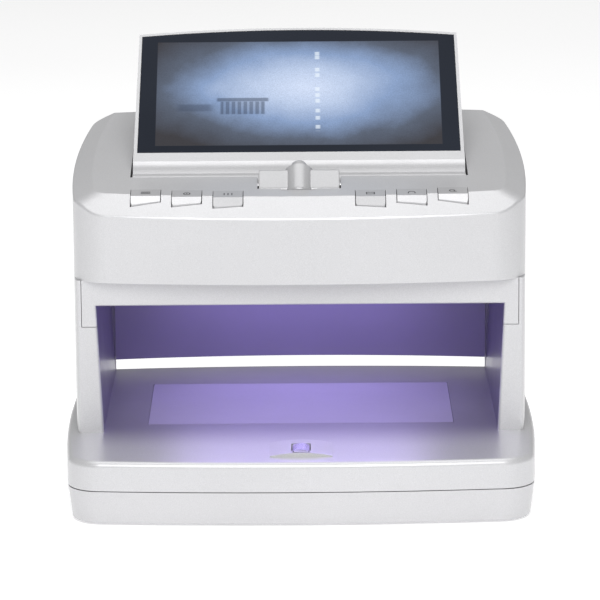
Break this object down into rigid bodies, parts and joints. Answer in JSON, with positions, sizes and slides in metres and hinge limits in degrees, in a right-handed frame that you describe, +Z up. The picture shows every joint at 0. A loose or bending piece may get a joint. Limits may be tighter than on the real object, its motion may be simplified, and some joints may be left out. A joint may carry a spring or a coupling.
{
  "type": "counterfeit bill detector",
  "caption": "Desk-top banknote checker: a lit arch bay over a low base, push keys on the sloping hood and a tilting flat display on a centre hinge.",
  "frame": {"origin": "on the table, under the middle of the base's plan", "axes": "+X to the operator's right, +Y to the rear, +Z up"},
  "size_m": [0.26, 0.225, 0.2411],
  "materials": {
    "shell_plastic": "pearl silver, satin",
    "tray_plastic": "pearl silver, satin",
    "key_plastic": "light silver, satin",
    "hinge_plastic": "light silver, satin",
    "inner_plastic": "moulded, matt",
    "black_plastic": "moulded, matt",
    "foot_rubber": "matt",
    "opal_plate": "opal, satin",
    "head_metal": "brushed",
    "screw_steel": "zinc plated",
    "shaft_steel": "ground",
    "bracket_steel": "zinc plated",
    "board_green": "solder mask",
    "component_black": "moulded",
    "tube_glass": "polished",
    "cap_aluminium": "rolled",
    "reflector_aluminium": "bright",
    "filter_glass": "polished",
    "screen_glass": "polished",
    "panel_lit": "lit panel",
    "led_strip": "satin"
  },
  "bodies": {
    "housing": {"base_cover": "shell_plastic", "column_left": "shell_plastic", "column_right": "shell_plastic", "lintel_frame": "shell_plastic", "rear_panel": "shell_plastic", "hood_shell": "shell_plastic", "sensor_housing": "shell_plastic", "base_tray": "tray_plastic", "bay_back_wall": "inner_plastic", "hood_pan": "inner_plastic", "display_well": "inner_plastic", "power_inlet": "black_plastic", "power_switch": "black_plastic", "lamp_holders": "black_plastic", "board_standoffs": "black_plastic", "foot_front_left": "foot_rubber", "foot_front_right": "foot_rubber", "foot_rear_left": "foot_rubber", "foot_rear_right": "foot_rubber", "inspection_plate": "opal_plate", "light_guide": "opal_plate", "magnetic_head": "head_metal", "base_screws": "screw_steel", "inlet_pin": "shaft_steel", "hinge_bracket_left": "bracket_steel", "hinge_bracket_right": "bracket_steel", "backlight_board": "board_green", "main_board": "board_green", "key_board_left": "board_green", "key_board_right": "board_green", "camera_board": "board_green", "board_components": "component_black", "buzzer": "component_black", "lamp_inverter": "component_black", "key_switches": "component_black", "camera_lens": "component_black", "uv_tube_front": "tube_glass", "uv_tube_rear": "tube_glass", "tube_end_caps": "cap_aluminium", "lamp_reflectors": "reflector_aluminium", "filter_window": "filter_glass", "led_bar_left": "led_strip", "led_bar_right": "led_strip"},
    "screen": {"hinge_block": "hinge_plastic", "hinge_post": "hinge_plastic", "hinge_shafts": "shaft_steel", "display_bezel": "shell_plastic", "display_glass": "screen_glass", "display_back_cover": "shell_plastic", "lcd_panel": "panel_lit", "display_board": "board_green", "display_screws": "screw_steel"},
    "key_left_inner": {"key_left_inner": "key_plastic"},
    "key_left_middle": {"key_left_middle": "key_plastic"},
    "key_left_outer": {"key_left_outer": "key_plastic"},
    "key_right_inner": {"key_right_inner": "key_plastic"},
    "key_right_middle": {"key_right_middle": "key_plastic"},
    "key_right_outer": {"key_right_outer": "key_plastic"},
    "rocker": {"power_rocker": "black_plastic"}
  },
  "joints": [
    {"name": "screen_tilt", "type": "hinge", "parent": "housing", "child": "screen", "pos_m": [0, -0.0225, 0.17], "axis": [1, 0, 0], "range_deg": [-27, 55]},
    {"name": "press_left_inner", "type": "slide", "parent": "housing", "child": "key_left_inner", "axis": [0, 0.1349, -0.9909], "range_m": [0, 0.0012], "stiffness_N_per_m": 900, "springref_m": -0.0004},
    {"name": "press_left_middle", "type": "slide", "parent": "housing", "child": "key_left_middle", "axis": [0, 0.1349, -0.9909], "range_m": [0, 0.0012], "stiffness_N_per_m": 900, "springref_m": -0.0004},
    {"name": "press_left_outer", "type": "slide", "parent": "housing", "child": "key_left_outer", "axis": [0, 0.1349, -0.9909], "range_m": [0, 0.0012], "stiffness_N_per_m": 900, "springref_m": -0.0004},
    {"name": "press_right_inner", "type": "slide", "parent": "housing", "child": "key_right_inner", "axis": [0, 0.1349, -0.9909], "range_m": [0, 0.0012], "stiffness_N_per_m": 900, "springref_m": -0.0004},
    {"name": "press_right_middle", "type": "slide", "parent": "housing", "child": "key_right_middle", "axis": [0, 0.1349, -0.9909], "range_m": [0, 0.0012], "stiffness_N_per_m": 900, "springref_m": -0.0004},
    {"name": "press_right_outer", "type": "slide", "parent": "housing", "child": "key_right_outer", "axis": [0, 0.1349, -0.9909], "range_m": [0, 0.0012], "stiffness_N_per_m": 900, "springref_m": -0.0004},
    {"name": "rocker_flip", "type": "hinge", "parent": "housing", "child": "rocker", "pos_m": [-0.06, 0.1063, 0.011], "axis": [0, 0, 1], "range_deg": [-15, 0]}
  ]
}
